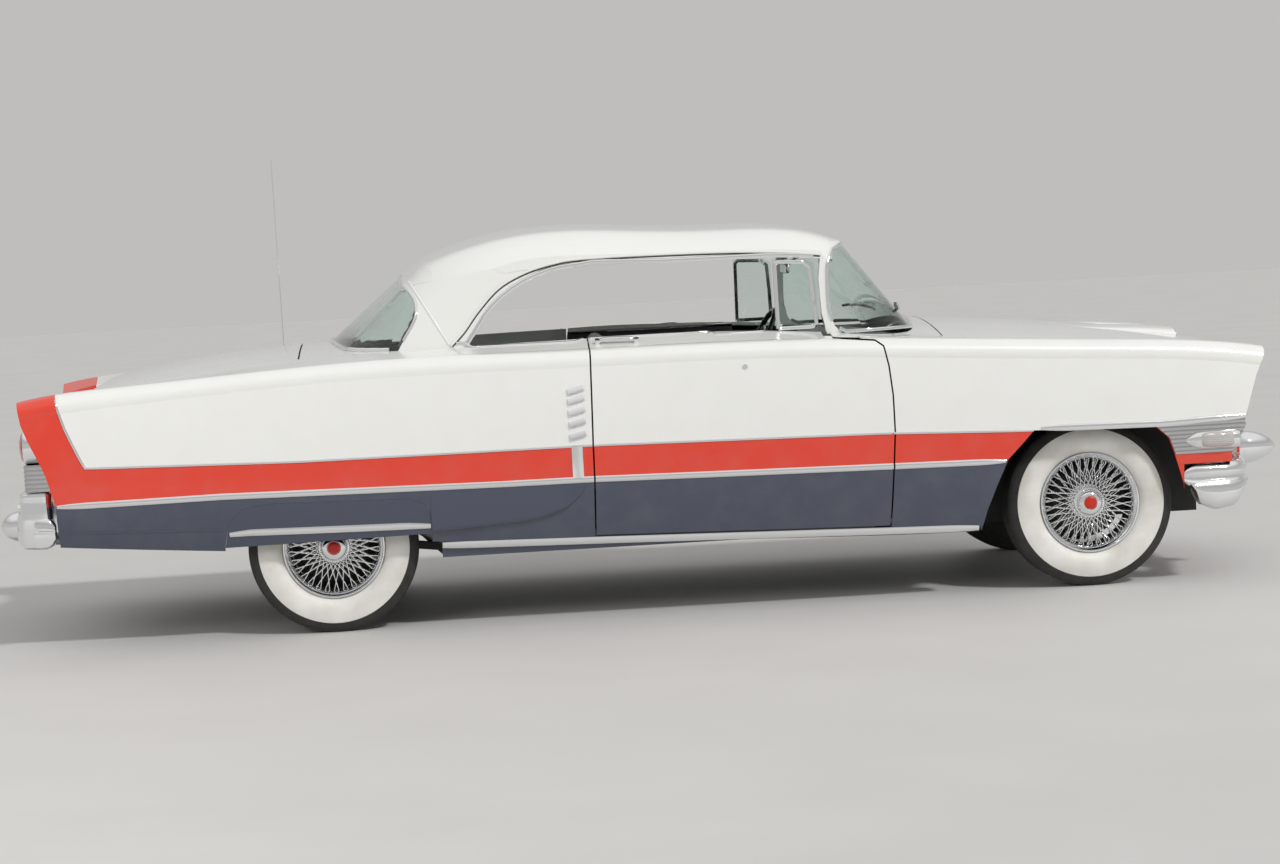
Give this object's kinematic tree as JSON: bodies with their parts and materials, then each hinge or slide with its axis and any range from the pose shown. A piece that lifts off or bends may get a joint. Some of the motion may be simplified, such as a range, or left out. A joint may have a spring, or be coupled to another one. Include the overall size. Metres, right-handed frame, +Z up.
{
  "type": "two-door hardtop car",
  "caption": "Two-door hardtop passenger car of the 1950s with tail fins, hinged doors, hood and trunk lid, wire wheels, bench seats and steered front wheels.",
  "frame": {"origin": "on the ground, in the middle of the overall length and width", "axes": "+X to the nose, +Y to the car's left side, +Z up"},
  "size_m": [5.558, 1.9718, 2.0399],
  "materials": {
    "body_paint": "gloss white, with an orange-red band and slate-blue lower panels in the visual model",
    "window_glass": "clear, faint green tint",
    "inner_steel": "satin black",
    "frame_steel": "satin black chassis paint",
    "engine_iron": "painted cast iron",
    "pipe_steel": "dull steel",
    "tyre": "black rubber with a wide white side wall in the visual model",
    "chrome": "polished chrome plate",
    "cabin_plastic": "gloss black",
    "seat_leather": "black and off-white leather",
    "lamp_glass": "clear fluted lens in a bright ring",
    "red_lens": "red lens"
  },
  "bodies": {
    "body": {"front_fender_left": "body_paint", "front_fender_right": "body_paint", "nose_panel": "body_paint", "quarter_panel_left": "body_paint", "quarter_panel_right": "body_paint", "rocker_left": "body_paint", "rocker_right": "body_paint", "rear_wheel_skirts": "body_paint", "rear_deck_panel": "body_paint", "tail_panel": "body_paint", "rear_bulkhead": "inner_steel", "cowl_panel": "body_paint", "firewall": "inner_steel", "roof": "body_paint", "windshield_glass": "window_glass", "backlight_glass": "window_glass", "chassis_frame": "frame_steel", "floor_pan": "inner_steel", "inner_fenders": "inner_steel", "engine_block": "engine_iron", "rear_axle": "frame_steel", "exhaust_pipes": "pipe_steel", "fuel_tank": "inner_steel", "steering_column": "cabin_plastic", "dashboard": "cabin_plastic", "front_seat": "seat_leather", "rear_seat": "seat_leather", "front_bumper": "chrome", "rear_bumper": "chrome", "grille": "chrome", "headlamps": "lamp_glass", "tail_lamps": "red_lens", "antenna": "chrome"},
    "hood": {"hood": "body_paint"},
    "trunk_lid": {"trunk_lid": "body_paint"},
    "door_left": {"door_left": "body_paint", "vent_window_left": "window_glass"},
    "door_right": {"door_right": "body_paint", "vent_window_right": "window_glass"},
    "knuckle_left": {"steering_knuckle_left": "frame_steel"},
    "knuckle_right": {"steering_knuckle_right": "frame_steel"},
    "wheel_front_left": {"wheel_front_left": "chrome", "tyre_front_left": "tyre"},
    "wheel_front_right": {"wheel_front_right": "chrome", "tyre_front_right": "tyre"},
    "wheel_rear_left": {"wheel_rear_left": "chrome", "tyre_rear_left": "tyre"},
    "wheel_rear_right": {"wheel_rear_right": "chrome", "tyre_rear_right": "tyre"},
    "steering_wheel": {"steering_wheel": "cabin_plastic"}
  },
  "joints": [
    {"name": "door_left_hinge", "type": "hinge", "parent": "body", "child": "door_left", "pos_m": [0.93, 0.905, 0.7], "axis": [0, 0, -1], "range_deg": [0, 65]},
    {"name": "door_right_hinge", "type": "hinge", "parent": "body", "child": "door_right", "pos_m": [0.93, -0.905, 0.7], "axis": [0, 0, 1], "range_deg": [0, 65]},
    {"name": "hood_hinge", "type": "hinge", "parent": "body", "child": "hood", "pos_m": [1.34, 0, 1.104], "axis": [0, -1, 0], "range_deg": [0, 45]},
    {"name": "trunk_lid_hinge", "type": "hinge", "parent": "body", "child": "trunk_lid", "pos_m": [-1.53, 0, 1.134], "axis": [0, 1, 0], "range_deg": [0, 60]},
    {"name": "steer_left", "type": "hinge", "parent": "body", "child": "knuckle_left", "pos_m": [1.866, 0.63, 0.358], "axis": [0, 0, 1], "range_deg": [-30, 30]},
    {"name": "steer_right", "type": "hinge", "parent": "body", "child": "knuckle_right", "pos_m": [1.866, -0.63, 0.358], "axis": [0, 0, 1], "range_deg": [-30, 30]},
    {"name": "steering_wheel_turn", "type": "hinge", "parent": "body", "child": "steering_wheel", "pos_m": [0.6, 0.38, 1.04], "axis": [-0.8815, 0, 0.4722], "range_deg": [-540, 540]},
    {"name": "wheel_front_left_spin", "type": "hinge", "parent": "knuckle_left", "child": "wheel_front_left", "pos_m": [1.866, 0.762, 0.358], "axis": [0, 1, 0], "continuous": true},
    {"name": "wheel_front_right_spin", "type": "hinge", "parent": "knuckle_right", "child": "wheel_front_right", "pos_m": [1.866, -0.762, 0.358], "axis": [0, 1, 0], "continuous": true},
    {"name": "wheel_rear_left_spin", "type": "hinge", "parent": "body", "child": "wheel_rear_left", "pos_m": [-1.36, 0.762, 0.358], "axis": [0, 1, 0], "continuous": true},
    {"name": "wheel_rear_right_spin", "type": "hinge", "parent": "body", "child": "wheel_rear_right", "pos_m": [-1.36, -0.762, 0.358], "axis": [0, 1, 0], "continuous": true}
  ],
  "couplings": [
    {"joint": "steer_right", "follows": "steer_left", "ratio": 1},
    {"joint": "steering_wheel_turn", "follows": "steer_left", "ratio": 18}
  ]
}
